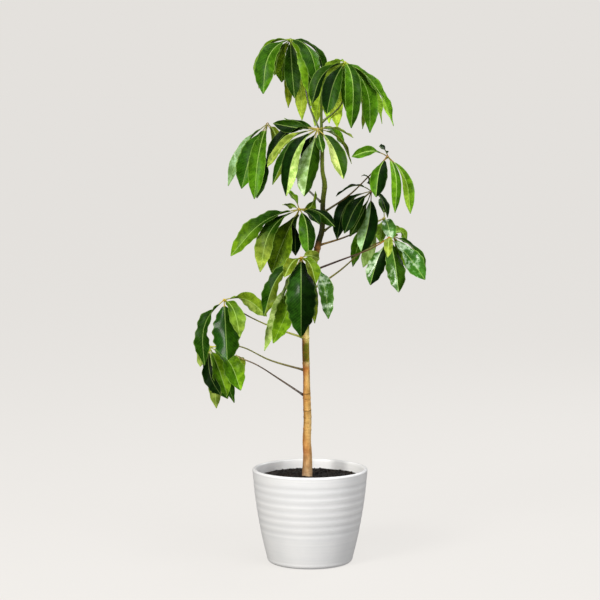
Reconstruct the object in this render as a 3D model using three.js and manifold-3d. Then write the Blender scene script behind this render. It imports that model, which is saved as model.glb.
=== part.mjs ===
import * as THREE from "three";
import { mergeVertices } from "three/addons/utils/BufferGeometryUtils.js";
import Module from "manifold-3d";

// A potted indoor umbrella tree. Millimetres and degrees, +Z up. The origin is the centre of the pot's
// underside, and the front of the plant faces -Y.

const gap = 0.3; // left between pieces that touch

const potHeight = 265;
const potFootRadius = 105; // the flat that it stands on
const potEdgeRadius = 13; // round lower edge
const potBaseRadius = 117; // of the wall, carried down to the floor
const potFlare = 73; // how much the wall widens from floor to rim
const potBelly = 28.5; // how much of that the wall loses towards the rim, as it stands up straighter
const potWall = 12;
const potFloor = 14;
const potCorner = 14; // width of the slope between the floor and the wall inside
const potCornerHeight = 10;
const potSides = 36;
const smoothFoot = 55; // height up to which the wall is plain
const grooveCount = 7;
const lowestGroove = 101;
const groovePitch = 21.4;
const grooveDepth = 1.4;

const soilTop = 238;
const soilDome = 5; // rise of the soil towards its middle
const soilLump = 2.5;
const soilClearance = 1; // between the soil and the pot's wall

// The trunk's middle and its radius, from its foot in the soil to the growing tip.
const trunkPath = [
  [-8, 0, 120, 13],
  [-8, 0, 232, 15],
  [-7, 2, 302, 12.6],
  [-9, 3, 344, 11.9],
  [-7, 2, 401, 11.2],
  [-9, -2, 457, 10.6],
  [-10, -3, 525, 9.9],
  [-12, 0, 612, 10],
  [-10, 2, 682, 9.4],
  [-3, 2, 766, 9],
  [22, 0, 891, 8.6],
  [33, -2, 935, 7.8],
  [36, 0, 1016, 7],
  [40, 2, 1058, 7],
  [34, 0, 1099, 6],
  [33, 0, 1168, 5.4],
  [31, 0, 1237, 4],
  [31, 0, 1300, 2.6],
  [32, 0, 1314, 1.2],
];
const trunkSides = 8;
const trunkSteps = 2; // rings for each stretch of the path
// Heights where fallen leaves left a ring round the trunk, and how far each stands out.
const leafScars = [
  [375, 0.7], [409, 0.9], [429, 0.8], [463, 0.9], [477, 0.6],
  [561, 0.9], [632, 1.2], [883, 1.6], [1050, 0.8],
];
const scarHalfHeight = 5;

const stalkRadius = 2.6; // of a frond's long stalk
const stalkFootRadius = 4; // where it leaves the trunk
const stalkSides = 6;
const stalkSteps = 9;
const hubRadius = 5.2;
const leafletStalkRadius = 1.2;
const edgeThickness = 0.8;
const ribThickness = 1.8;
const ringSpacing = 38; // between the rings of points that make a blade, half a wave of its edge
const midlineSteps = 60;

// Stem is the length of a frond's leaflet stalks, at most a fifth of the leaflet.
// One row for each leaflet: azimuth (0 is +X, 90 is +Y), slope where it leaves the hub, slope at its tip,
// length with its stalk, width, roll of the blade round its rib, slope of its two halves, wave of its edge.
const fronds = [
  {
    name: "frond_top_left", root: 1195, stem: 10,
    bends: [[-5, 20, 1285], [-20, 40, 1380]], hub: [-55, 60, 1460],
    leaflets: [
      [155, 0, -90, 200, 42, -55, 20, 3],
      [-140, -15, -85, 200, 62, -35, 15, 3],
      [-155, -40, -80, 115, 42, -75, 20, 3],
      [140, -60, -85, 125, 48, -130, 20, 3],
      [-75, -80, -70, 170, 48, 15, 15, 3],
      [95, -85, -60, 205, 30, -5, 20, 3],
      [40, -60, -90, 145, 32, 60, 20, 3],
      [-50, -20, -90, 185, 50, 20, -25, 3],
      [-50, -5, -75, 195, 56, 10, -20, 3],
      [15, -5, -75, 170, 36, 55, 20, 3],
      [65, -50, -85, 245, 46, -25, 20, 3],
      [55, -20, -90, 235, 48, -25, 20, 3],
    ],
  },
  {
    name: "frond_top_right", root: 1230, stem: 10,
    bends: [[85, -25, 1280], [95, -50, 1340]], hub: [95, -70, 1395],
    leaflets: [
      [175, -15, -75, 155, 48, -65, 20, 2],
      [-135, -45, -75, 160, 54, -40, 15, 2],
      [-85, -70, -90, 135, 38, -25, 20, 2],
      [-75, -20, -105, 220, 46, 20, 15, 2],
      [-25, -50, -90, 195, 32, 5, 20, 2],
      [-30, -35, -90, 220, 50, 45, 15, 3],
      [-15, -25, -55, 155, 34, 35, 20, 3],
      [10, -25, -70, 230, 32, 60, 20, 4],
      [35, -20, -75, 225, 36, 65, 20, 3],
      [110, 10, -95, 265, 48, 10, 20, 3],
      [110, -20, -105, 220, 50, 30, 20, 3],
      [125, -15, -75, 245, 46, 25, 20, 3],
    ],
  },
  {
    name: "frond_upper_middle", root: 1155, stem: 24,
    bends: [[30, -40, 1175], [25, -85, 1200]], hub: [20, -120, 1215],
    leaflets: [
      [130, 5, 15, 145, 32, -140, 20, 2],
      [155, 0, 10, 135, 38, -95, 20, 2],
      [175, -10, -55, 180, 38, -45, 20, 2],
      [-160, -25, -65, 205, 36, -50, 25, 2],
      [-140, -25, -80, 225, 54, -45, 30, 2],
      [115, -40, -50, 130, 38, -145, 20, 2],
      [-115, -55, -70, 200, 64, -45, -28, 2],
      [-40, -35, -70, 165, 50, 35, 25, 2],
      [50, 5, -40, 135, 28, 90, 20, 2],
      [25, -10, -65, 150, 30, 35, 20, 2],
      [10, 10, -30, 105, 28, 0, 20, 2],
      [-75, -60, -45, 80, 26, 15, 20, 2],
      [155, 10, -60, 205, 38, -85, 20, 2],
    ],
  },
  {
    name: "frond_upper_left_back", root: 1005, stem: 20,
    bends: [[-35, 45, 1075], [-75, 90, 1155]], hub: [-120, 130, 1225],
    leaflets: [
      [-160, -55, -75, 200, 66, -60, 20, 3],
      [160, -35, -70, 220, 38, -80, 20, 2],
      [-115, -50, -80, 230, 52, -20, 20, 2],
      [145, -80, -80, 215, 50, -140, 20, 2],
      [-60, -20, -70, 115, 32, 30, 20, 2],
    ],
  },
  {
    name: "frond_right_high", root: 980, stem: 20,
    bends: [[105, -40, 1030], [160, -75, 1085]], hub: [210, -110, 1140],
    leaflets: [
      [-170, 30, -20, 105, 32, -75, 20, 2],
      [-140, 75, 20, 45, 26, -50, 20, 2],
      [-120, -25, -80, 135, 52, -20, -25, 2],
      [-70, -25, -100, 180, 28, 15, -10, 1],
      [-20, -40, -85, 175, 34, 65, 20, 1],
    ],
  },
  {
    name: "frond_right_middle", root: 925, stem: 24,
    bends: [[85, 5, 965], [130, 5, 1005]], hub: [170, 10, 1040],
    leaflets: [
      [-165, 35, -35, 115, 24, 5, 20, 2],
      [-160, -10, -80, 185, 44, -50, 20, 2],
      [-135, -25, -60, 160, 48, -40, 20, 2],
      [-170, -70, -60, 140, 32, -75, 20, 2],
      [-115, -85, -55, 180, 58, -20, -25, 2],
      [100, 50, 5, 115, 30, -170, 20, 2],
      [-50, -10, -70, 105, 28, -5, 20, 2],
    ],
  },
  {
    name: "frond_right_low", root: 820, stem: 12,
    bends: [[90, -45, 855], [160, -90, 885]], hub: [215, -130, 920],
    leaflets: [
      [-10, -40, -55, 150, 58, 75, 20, 4],
      [-65, -60, -75, 155, 56, 30, -25, 5],
      [-95, 0, -40, 115, 26, -5, 20, 3],
      [-165, -55, -75, 140, 54, -70, -22, 4],
    ],
  },
  {
    name: "frond_right_low_back", root: 760, stem: 12,
    bends: [[80, 30, 815], [155, 55, 875]], hub: [235, 80, 910],
    leaflets: [
      [-5, -20, -70, 150, 30, 60, 20, 4],
      [60, 35, -40, 95, 24, 120, 20, 2],
      [85, 20, -5, 110, 34, 145, 20, 2],
      [35, -50, -60, 115, 42, 115, 20, 3],
      [80, -20, -95, 130, 42, 170, 20, 3],
    ],
  },
  {
    name: "frond_right_inner", root: 890, stem: 16,
    bends: [[95, 35, 910], [155, 70, 935]], hub: [210, 100, 960],
    leaflets: [
      [160, -60, -70, 155, 42, -105, 20, 2],
      [145, -20, -75, 190, 38, -115, 20, 3],
      [95, 60, 30, 85, 28, 0, 20, 2],
      [-80, -10, -50, 105, 44, 0, 20, 3],
      [-105, -30, -65, 85, 36, -5, 20, 3],
    ],
  },
  {
    name: "frond_left_middle", root: 970, stem: 20,
    bends: [[15, -30, 990], [-5, -55, 995]], hub: [-30, -80, 995],
    leaflets: [
      [-175, -10, -50, 235, 58, -60, 20, 4],
      [-160, -20, -80, 220, 56, -50, 15, 3],
      [-170, -60, -70, 190, 72, -80, 20, 2],
      [-70, -20, -85, 155, 50, 15, -25, 2],
      [105, -40, -95, 145, 42, -155, 20, 2],
      [-10, 5, -45, 115, 36, 70, -20, 2],
      [-40, -10, -40, 85, 36, 20, 20, 2],
      [125, 60, 25, 80, 24, 0, 20, 2],
      [40, -15, 75, 90, 32, 130, 20, 2],
      [115, 10, 0, 110, 20, -155, 20, 2],
    ],
  },
  {
    name: "frond_centre_front", root: 805, stem: 14,
    bends: [[5, -65, 835], [-5, -130, 860]], hub: [-25, -185, 870],
    leaflets: [
      [-90, -25, -105, 250, 94, 0, -28, 5],
      [-170, -30, -75, 195, 46, -70, 20, 5],
      [-120, 0, -45, 105, 34, -30, 20, 3],
      [-60, 0, -65, 110, 42, 0, 20, 3],
      [-15, -35, -85, 190, 44, 65, 20, 5],
      [50, 15, -20, 80, 32, 110, 20, 3],
      [40, -60, -85, 190, 30, -50, 20, 3],
      [160, -80, -65, 250, 58, -105, 20, 5],
      [150, -60, -70, 285, 36, -115, 20, 5],
    ],
  },
  {
    name: "frond_low_left_high", root: 630, stem: 14,
    bends: [[-100, -40, 665], [-175, -85, 705]], hub: [-235, -120, 750],
    leaflets: [
      [-170, -40, -95, 200, 48, -65, 20, 6],
      [-80, -70, -70, 170, 80, 15, -22, 6],
      [-60, -10, -70, 140, 48, 5, 20, 4],
      [0, 15, -45, 135, 44, -100, 20, 4],
    ],
  },
  {
    name: "frond_low_left_outer", root: 540, stem: 14,
    bends: [[-110, -10, 570], [-195, -20, 610]], hub: [-280, -30, 610],
    leaflets: [
      [-65, -105, -25, 170, 44, 65, 20, 5],
      [-30, -60, -70, 145, 52, 60, 20, 4],
      [-25, -20, -70, 160, 60, 60, 20, 5],
      [25, -80, -85, 175, 42, -65, 20, 4],
      [15, -60, -70, 175, 38, 75, 20, 4],
      [125, 0, -85, 90, 36, 65, 20, 3],
    ],
  },
  {
    name: "frond_low_left_back", root: 465, stem: 14,
    bends: [[-85, 40, 510], [-150, 85, 545]], hub: [-210, 120, 565],
    leaflets: [
      [80, 0, -95, 135, 30, 20, 20, 4],
      [155, 0, -90, 140, 46, -85, 20, 4],
      [-155, -20, -115, 150, 48, -65, 20, 4],
    ],
  },
];

const wasm = await Module();
wasm.setup();

function radians(degrees) {
  return (degrees * Math.PI) / 180;
}

// A closed mesh with shared vertices as a solid that can be joined and cut.
function toSolid(geometry) {
  const bare = geometry.clone();
  bare.deleteAttribute("normal");
  bare.deleteAttribute("uv");
  const merged = mergeVertices(bare, 1e-4);
  const triVerts = new Uint32Array(merged.index.array);
  const vertProperties = new Float32Array(merged.attributes.position.array);
  return new wasm.Manifold(new wasm.Mesh({ numProp: 3, vertProperties, triVerts }));
}

function toGeometry(solid) {
  const mesh = solid.getMesh();
  const geometry = new THREE.BufferGeometry();
  geometry.setAttribute("position", new THREE.BufferAttribute(new Float32Array(mesh.vertProperties), 3));
  geometry.setIndex(Array.from(mesh.triVerts));
  geometry.computeVertexNormals();
  return geometry;
}

// A closed skin over rings of points. The rings go anticlockwise as seen from the far end. flips[j] turns
// the diagonal of the quads between points j and j + 1.
function skin(rings, flips = []) {
  const count = rings[0].length;
  const position = rings.flat().flatMap((p) => [p.x, p.y, p.z]);
  const index = [];
  for (let i = 0; i + 1 < rings.length; i++) {
    for (let j = 0; j < count; j++) {
      const a = i * count + j;
      const b = i * count + ((j + 1) % count);
      const c = b + count;
      const d = a + count;
      index.push(...(flips[j] ? [a, b, d, b, c, d] : [a, b, c, a, c, d]));
    }
  }
  const last = (rings.length - 1) * count;
  for (let j = 1; j + 1 < count; j++) {
    index.push(0, j + 1, j);
    index.push(last, last + j, last + j + 1);
  }
  const geometry = new THREE.BufferGeometry();
  geometry.setAttribute("position", new THREE.Float32BufferAttribute(position, 3));
  geometry.setIndex(index);
  return geometry;
}

// Rings of a round rod whose middle follows the points, with a radius for each point.
function rodRings(points, radii, sides) {
  const sideways = new THREE.Vector3(0, 1, 0);
  return points.map((point, i) => {
    const before = points[Math.max(i - 1, 0)];
    const after = points[Math.min(i + 1, points.length - 1)];
    const along = after.clone().sub(before).normalize();
    const u = new THREE.Vector3().crossVectors(sideways, along).normalize();
    const v = new THREE.Vector3().crossVectors(along, u);
    return Array.from({ length: sides }, (_, j) => {
      const turn = (2 * Math.PI * j) / sides;
      const across = radii[i] * Math.cos(turn);
      const over = radii[i] * Math.sin(turn);
      return point.clone().addScaledVector(u, across).addScaledVector(v, over);
    });
  });
}

const trunkCurve = new THREE.CatmullRomCurve3(
  trunkPath.map(([x, y, z]) => new THREE.Vector3(x, y, z)), false, "catmullrom", 0.5,
);

function scarSwelling(z) {
  return leafScars.reduce((sum, [height, rise]) => {
    return sum + rise * Math.max(0, 1 - Math.abs(z - height) / scarHalfHeight);
  }, 0);
}

// The trunk's middle and radius at heights from its foot up, with a ring above, on and below each scar.
function trunkStations(extra) {
  const stretches = trunkPath.length - 1;
  const places = [];
  for (let i = 0; i <= stretches * trunkSteps; i++) places.push(i / (stretches * trunkSteps));
  for (const [height] of leafScars) {
    for (const z of [height - scarHalfHeight, height, height + scarHalfHeight]) places.push(placeAtHeight(z));
  }
  places.sort((a, b) => a - b);
  const apart = places.filter((place, i) => i === 0 || place - places[i - 1] > 0.0015);
  const points = apart.map((place) => trunkCurve.getPoint(place));
  const radii = apart.map((place, i) => trunkRadius(place) + scarSwelling(points[i].z) + extra);
  return [points, radii];
}

function trunkRadius(place) {
  const at = place * (trunkPath.length - 1);
  const i = Math.min(Math.floor(at), trunkPath.length - 2);
  return THREE.MathUtils.lerp(trunkPath[i][3], trunkPath[i + 1][3], at - i);
}

function placeAtHeight(z) {
  let low = 0;
  let high = 1;
  for (let i = 0; i < 40; i++) {
    const middle = (low + high) / 2;
    if (trunkCurve.getPoint(middle).z < z) low = middle;
    else high = middle;
  }
  return low;
}

function trunkSolid(extra) {
  const [points, radii] = trunkStations(extra);
  return toSolid(skin(rodRings(points, radii, trunkSides)));
}

// The pot's outer radius at a height.
function wallRadius(z) {
  return potBaseRadius + potFlare * (z / potHeight) - potBelly * (z / potHeight) ** 2;
}

// A profile of [radius, height] points turned about the Z axis.
function turned(profile) {
  const points = profile.map(([r, z]) => new THREE.Vector2(r, z));
  return new THREE.LatheGeometry(points, potSides).rotateX(Math.PI / 2);
}

// The pot: a turned shape with a rounded lower edge, grooves round its wall and a round rim.
function potGeometry() {
  const profile = [[0, 0], [potFootRadius, 0]];
  const edgeCentre = wallRadius(potEdgeRadius) - potEdgeRadius;
  for (const degrees of [-60, -30, 0]) {
    const turn = radians(degrees);
    profile.push([edgeCentre + potEdgeRadius * Math.cos(turn), potEdgeRadius * (1 + Math.sin(turn))]);
  }
  profile.push([wallRadius(smoothFoot), smoothFoot]);
  for (let i = 0; i < grooveCount; i++) {
    const z = lowestGroove + i * groovePitch;
    profile.push([wallRadius(z - groovePitch / 2), z - groovePitch / 2], [wallRadius(z) - grooveDepth, z]);
  }
  const lastRidge = lowestGroove + (grooveCount - 0.5) * groovePitch;
  profile.push([wallRadius(lastRidge), lastRidge]);
  const crest = potWall / 2;
  const crestCentre = wallRadius(potHeight) - crest;
  for (const degrees of [0, 45, 90, 135, 180]) {
    const turn = radians(degrees);
    profile.push([crestCentre + crest * Math.cos(turn), potHeight - crest * (1 - Math.sin(turn))]);
  }
  const corner = potFloor + potCornerHeight;
  profile.push([wallRadius(potHeight / 2) - potWall, potHeight / 2]);
  profile.push([wallRadius(corner) - potWall, corner]);
  profile.push([wallRadius(potFloor) - potWall - potCorner, potFloor]);
  profile.push([0, potFloor]);
  return turned(profile);
}

// The soil fills the pot to below its rim, with small lumps and a plain hole that the trunk stands in.
function soilGeometry() {
  const inside = (z) => wallRadius(z) - potWall - soilClearance;
  const floor = potFloor + gap;
  const corner = potFloor + potCornerHeight;
  const profile = [[0, floor], [inside(potFloor) - potCorner, floor], [inside(corner), corner + gap]];
  profile.push([inside(potHeight / 2), potHeight / 2], [inside(soilTop), soilTop]);
  for (const share of [0.86, 0.7, 0.52, 0.34, 0.16]) {
    profile.push([share * inside(soilTop), soilTop + soilDome * (1 - share)]);
  }
  profile.push([0, soilTop + soilDome]);
  const soil = turned(profile);
  const position = soil.attributes.position;
  for (let i = 0; i < position.count; i++) {
    const [x, y, z] = [position.getX(i), position.getY(i), position.getZ(i)];
    const lump = soilLump * Math.sin(x / 13) * Math.cos(y / 11);
    if (z > soilTop + 0.1) position.setZ(i, z + lump);
  }
  return toGeometry(toSolid(soil).subtract(trunkSolid(gap)));
}

// A leaflet's bend along its length: it starts and ends gently, and is done four fifths of the way down.
function ease(t) {
  const done = Math.min(t / 0.8, 1);
  return done ** 2 * (3 - 2 * done);
}

// Half the width of a blade: a full sine arch over its length, drawn in to a point at the tip.
function halfWidth(u, width) {
  const tip = Math.max(0, (u - 0.84) / 0.16);
  return (width / 2) * Math.sin(Math.PI * u ** 1.1) ** 0.62 * (1 - 0.45 * tip ** 1.3);
}

// The middle line of a leaflet: even steps whose slope goes from its first value to its last.
function leafletMidline(hub, azimuth, slopeStart, slopeEnd, length) {
  const points = [hub.clone()];
  const step = length / midlineSteps;
  for (let i = 0; i < midlineSteps; i++) {
    const slope = radians(slopeStart + (slopeEnd - slopeStart) * ease((i + 0.5) / midlineSteps));
    const flat = step * Math.cos(slope);
    points.push(points[i].clone().add(new THREE.Vector3(
      flat * Math.cos(radians(azimuth)), flat * Math.sin(radians(azimuth)), step * Math.sin(slope),
    )));
  }
  return points;
}

function along(points, t) {
  const at = Math.min(Math.max(t, 0), 1) * (points.length - 1);
  const i = Math.min(Math.floor(at), points.length - 2);
  return points[i].clone().lerp(points[i + 1], at - i);
}

// A leaflet: a thin round stalk that opens into a pointed blade, folded along its rib, with a waved edge.
// Each ring has six points: right edge, rib and left edge on the upper face, then the same back underneath.
function leafletSolid(hub, stem, [azimuth, slopeStart, slopeEnd, length, width, roll, fold, wave]) {
  const midline = leafletMidline(hub, azimuth, slopeStart, slopeEnd, length);
  const stalk = Math.min(stem, length / 5);
  const blade = length - stalk;
  const rings = Math.max(4, Math.round(blade / ringSpacing));
  const level = new THREE.Vector3(-Math.sin(radians(azimuth)), Math.cos(radians(azimuth)), 0);

  function ring(t, points) {
    const centre = along(midline, t);
    const forward = along(midline, t + 0.01).sub(along(midline, t - 0.01)).normalize();
    const up = new THREE.Vector3().crossVectors(forward, level);
    const turn = radians(roll) * ease(t);
    const right = level.clone().multiplyScalar(Math.cos(turn)).addScaledVector(up, Math.sin(turn));
    const normal = new THREE.Vector3().crossVectors(forward, right);
    return points.map(([x, z]) => centre.clone().addScaledVector(right, x).addScaledVector(normal, z));
  }

  const round = [30, 90, 150, 210, 270, 330].map((degrees) => {
    return [leafletStalkRadius * Math.cos(radians(degrees)), leafletStalkRadius * Math.sin(radians(degrees))];
  });
  const all = [ring(0, round), ring(stalk / length, round)];
  for (let i = 0; i < rings; i++) {
    const u = (i + 0.5) / rings;
    const half = halfWidth(u, width);
    const out = half * Math.cos(radians(fold));
    const lift = half * Math.sin(radians(fold));
    const ripple = wave * Math.min(1, (4 * half) / width) * (i % 2 ? -1 : 1);
    const e = edgeThickness / 2;
    all.push(ring((stalk + u * blade) / length, [
      [out, lift + ripple + e], [0, ribThickness / 2], [-out, lift - ripple + e],
      [-out, lift - ripple - e], [0, -ribThickness / 2], [out, lift + ripple - e],
    ]));
  }
  const tip = [[0.8, 0.4], [0, 0.5], [-0.8, 0.4], [-0.8, -0.4], [0, -0.5], [0.8, -0.4]];
  all.push(ring(1, tip));
  return toSolid(skin(all, [true, false, false, true, false, false]));
}

// A frond: a long stalk from inside the trunk to its hub, where the leaflets' stalks meet.
function frondGeometry({ root, stem, bends, hub, leaflets }, trunkSpace) {
  const foot = trunkCurve.getPoint(placeAtHeight(root));
  const end = new THREE.Vector3(...hub);
  const curve = new THREE.CatmullRomCurve3(
    [foot, ...bends.map((bend) => new THREE.Vector3(...bend)), end], false, "catmullrom", 0.5,
  );
  const points = curve.getPoints(stalkSteps);
  const before = points[points.length - 2];
  points.push(end.clone().addScaledVector(end.clone().sub(before).normalize(), hubRadius * 0.8));
  const radii = points.map((_, i) => {
    if (i >= stalkSteps) return i === stalkSteps ? hubRadius : hubRadius / 2;
    return stalkRadius + (stalkFootRadius - stalkRadius) * Math.max(0, 1 - (2 * i) / stalkSteps);
  });
  let solid = toSolid(skin(rodRings(points, radii, stalkSides))).subtract(trunkSpace);
  for (const leaflet of leaflets) solid = solid.add(leafletSolid(end, stem, leaflet));
  return toGeometry(solid);
}

function piece(name, geometry, color, roughness) {
  const mesh = new THREE.Mesh(geometry, new THREE.MeshStandardMaterial({ color, roughness, metalness: 0 }));
  mesh.name = name;
  return mesh;
}

const group = new THREE.Group();
group.add(piece("pot", potGeometry(), 0xdfdfdf, 0.25));
group.add(piece("soil", soilGeometry(), 0x1d1814, 0.95));
group.add(piece("trunk", toGeometry(trunkSolid(0)), 0xb98a4e, 0.8));
const trunkSpace = trunkSolid(gap);
for (const frond of fronds) group.add(piece(frond.name, frondGeometry(frond, trunkSpace), 0x2f6b1c, 0.4));

export default group;
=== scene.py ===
import math

import bpy
import numpy as np
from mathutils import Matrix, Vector


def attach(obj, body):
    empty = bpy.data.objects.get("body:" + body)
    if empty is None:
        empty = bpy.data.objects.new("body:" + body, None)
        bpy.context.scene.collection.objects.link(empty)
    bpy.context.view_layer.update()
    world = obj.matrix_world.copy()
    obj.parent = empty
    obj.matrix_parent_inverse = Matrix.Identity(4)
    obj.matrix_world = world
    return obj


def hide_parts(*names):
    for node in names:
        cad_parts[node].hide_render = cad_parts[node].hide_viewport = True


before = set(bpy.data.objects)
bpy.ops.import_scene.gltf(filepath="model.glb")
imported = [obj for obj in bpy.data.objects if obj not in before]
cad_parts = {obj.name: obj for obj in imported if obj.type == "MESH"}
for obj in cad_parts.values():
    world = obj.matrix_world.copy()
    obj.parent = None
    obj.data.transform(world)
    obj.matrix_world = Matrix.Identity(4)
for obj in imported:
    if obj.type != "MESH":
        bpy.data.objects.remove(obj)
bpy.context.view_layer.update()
print("frame loaded:", len(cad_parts), "nodes")

mm = 0.001
scene = bpy.context.scene
scene.view_settings.view_transform = "Standard"
rootBody = "root"


# Shader helpers

class Wire:
    # An output socket. Arithmetic on it adds Math nodes to its shader.
    def __init__(self, shader, socket):
        self.shader = shader
        self.socket = socket

    def __add__(self, other):
        return self.shader.math("ADD", self, other)

    def __sub__(self, other):
        return self.shader.math("SUBTRACT", self, other)

    def __rsub__(self, other):
        return self.shader.math("SUBTRACT", other, self)

    def __mul__(self, other):
        return self.shader.math("MULTIPLY", self, other)

    def __truediv__(self, other):
        return self.shader.math("DIVIDE", self, other)

    __radd__ = __add__
    __rmul__ = __mul__


class Shader:
    # A material with one Principled shader. node() takes a type, its settings and then its sockets.
    def __init__(self, name, **sockets):
        self.material = bpy.data.materials.new(name)
        self.material.use_nodes = True
        self.tree = self.material.node_tree
        self.surface = self.tree.nodes["Principled BSDF"]
        self.finish(**sockets)

    def plug(self, node, sockets):
        for key, value in sockets.items():
            if isinstance(value, Wire):
                self.tree.links.new(value.socket, node.inputs[key])
            else:
                node.inputs[key].default_value = value

    def node(self, kind, settings=None, sockets=None, output=0):
        made = self.tree.nodes.new("ShaderNode" + kind)
        for key, value in (settings or {}).items():
            setattr(made, key, value)
        self.plug(made, sockets or {})
        return Wire(self, made.outputs[output])

    def math(self, operation, a, b=0.0):
        return self.node("Math", {"operation": operation}, {0: a, 1: b})

    # 0 below low, 1 above high, smooth between them
    def step(self, value, low, high):
        settings = {"interpolation_type": "SMOOTHSTEP"}
        return self.node("MapRange", settings, {"Value": value, "From Min": low, "From Max": high})

    def mix(self, share, a, b, blend="MIX"):
        settings = {"data_type": "RGBA", "blend_type": blend}
        return self.node("Mix", settings, {0: share, 6: a, 7: b}, output=2)

    # the colour as it is where share is 1, and multiplied by a darker one where it is 0
    def shade(self, colour, share, dark):
        return self.mix(1.0, colour, self.mix(share, dark, (1, 1, 1, 1)), "MULTIPLY")

    def read(self, name, output="Vector"):
        return self.node("Attribute", {"attribute_name": name}, output=output)

    def parts(self, vector):
        split = self.node("SeparateXYZ", sockets={0: vector}).socket.node
        return [Wire(self, socket) for socket in split.outputs]

    # noise on the object's own coordinates, drawn out along an axis whose stretch is under 1
    def noise(self, scale, detail, stretch=(1, 1, 1), roughness=0.5):
        place = self.node("TexCoord", output="Object")
        moved = self.node("Mapping", sockets={"Vector": place, "Scale": stretch})
        sockets = {"Vector": moved, "Scale": scale, "Detail": detail, "Roughness": roughness}
        return self.node("TexNoise", sockets=sockets)

    def bump(self, height, strength, distance):
        sockets = {"Height": height, "Strength": strength, "Distance": distance}
        self.plug(self.surface, {"Normal": self.node("Bump", sockets=sockets)})

    # sockets of the surface, with an underscore for each space in their names
    def finish(self, **sockets):
        self.plug(self.surface, {key.replace("_", " "): value for key, value in sockets.items()})
        return self.material


# A screen colour as the linear values that a socket takes, with or without its alpha.
def tint(red, green, blue, alpha=True):
    shares = [value / 255 for value in (red, green, blue)]
    linear = [c / 12.92 if c < 0.043 else ((c + 0.055) / 1.055) ** 2.4 for c in shares]
    return (*linear, 1.0) if alpha else tuple(linear)


# Mesh helpers. Shapes are in millimetres here and in metres in the mesh.

# The quads of a grid of points, closed round its second parameter.
def tubeFaces(rows, columns, start=0):
    i, j = np.meshgrid(np.arange(rows - 1), np.arange(columns), indexing="ij")
    a = i * columns + j
    b = i * columns + (j + 1) % columns
    return np.stack([a, b, b + columns, a + columns], -1).reshape(-1, 4) + start


# A tube of rings, closed at both ends by a flat face. Returns its quads and its two end faces.
def closedTube(rows, columns, start=0):
    first = list(range(start + columns - 1, start - 1, -1))
    last = list(range(start + (rows - 1) * columns, start + rows * columns))
    return tubeFaces(rows, columns, start).tolist() + [first, last]


# A smooth mesh on the root body that replaces the given nodes. Values at its points become attributes.
def makePiece(name, points, faces, material, nodes, attributes=None):
    mesh = bpy.data.meshes.new(name)
    mesh.from_pydata((np.asarray(points) * mm).tolist(), [], faces)
    for key, values in (attributes or {}).items():
        kind, field = ("FLOAT", "value") if values.ndim == 1 else ("FLOAT_VECTOR", "vector")
        layer = mesh.attributes.new(key, kind, "POINT")
        layer.data.foreach_set(field, values.astype(np.float32).ravel())
    mesh.polygons.foreach_set("use_smooth", [True] * len(mesh.polygons))
    mesh.materials.append(material)
    mesh.update()
    piece = bpy.data.objects.new(name, mesh)
    scene.collection.objects.link(piece)
    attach(piece, rootBody)
    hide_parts(*nodes)
    return piece


# 0 to 1 in step with the given share, slow at both ends: three times its square less twice its cube.
def softStep(share):
    share = np.clip(share, 0, 1)
    return share**2 * (3 - 2 * share)


# Points on a smooth path through the given ones, at places from 0 to 1: each stretch is a cubic whose slope
# at a point is half the step from the point before to the point after.
def smoothPath(path, places):
    path = np.asarray(path, float)
    ends = np.vstack([2 * path[0] - path[1], path, 2 * path[-1] - path[-2]])
    at = np.clip(places, 0, 1) * (len(path) - 1)
    i = np.minimum(at.astype(int), len(path) - 2)
    w = (at - i)[:, None]
    p, q, r, s = ends[i], ends[i + 1], ends[i + 2], ends[i + 3]
    slopeQ, slopeR = (r - p) / 2, (s - q) / 2
    cubic, square = 2 * q - 2 * r + slopeQ + slopeR, 3 * r - 3 * q - 2 * slopeQ - slopeR
    return cubic * w**3 + square * w**2 + slopeQ * w + q


# Rings of a round rod: points on circles square to a path, anticlockwise as seen from its far end.
def rodRings(points, radii, sides):
    along = np.gradient(points, axis=0)
    along /= np.linalg.norm(along, axis=1, keepdims=True)
    u = np.cross([0.0, 1.0, 0.0], along)
    u /= np.linalg.norm(u, axis=1, keepdims=True)
    v = np.cross(along, u)
    turn = np.linspace(0, 2 * math.pi, sides, endpoint=False)
    across = radii[:, None] * np.cos(turn)
    over = radii[:, None] * np.sin(turn)
    return points[:, None] + across[..., None] * u[:, None] + over[..., None] * v[:, None]


# Smooth noise in three dimensions, about as far down as up: a sum of nine sines with seeded directions. Its
# waves are as long as size, and shorter along an axis whose stretch is above 1.
def ripples(points, rise, size, seed, stretch=(1, 1, 1)):
    count = 9
    random = np.random.default_rng(seed)
    directions = random.normal(size=(count, 3))
    directions /= np.linalg.norm(directions, axis=1, keepdims=True)
    phases = random.uniform(0, 2 * math.pi, count)
    lengths = size * random.uniform(0.7, 1.4, count)
    waves = np.sin(2 * math.pi * ((points * np.array(stretch)) @ directions.T) / lengths + phases)
    return rise * (waves.sum(-1) / math.sqrt(count))


# The pot: turned, with soft grooves round its side

pot = dict(
    height=265, footRadius=105, edgeRadius=13, baseRadius=117, flare=73, belly=28.5, wall=12, floor=14,
    grooves=7, lowestGroove=101, pitch=21.4, depth=0.6,
    sides=192, edgeRows=12, sideRows=150, rimRows=17, innerRows=26, poleRadius=1, middleRadius=60,
    # the darker colour in the grooves is painted shade
    white=tint(226, 226, 227), cloud=tint(217, 218, 220), grooveShade=tint(206, 207, 210),
    speck=tint(176, 172, 166), roughness=0.36,
)


# Outer radius at a height: a flare that eases towards the rim.
def wallRadius(z):
    share = z / pot["height"]
    return pot["baseRadius"] + pot["flare"] * share - pot["belly"] * share**2


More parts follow.
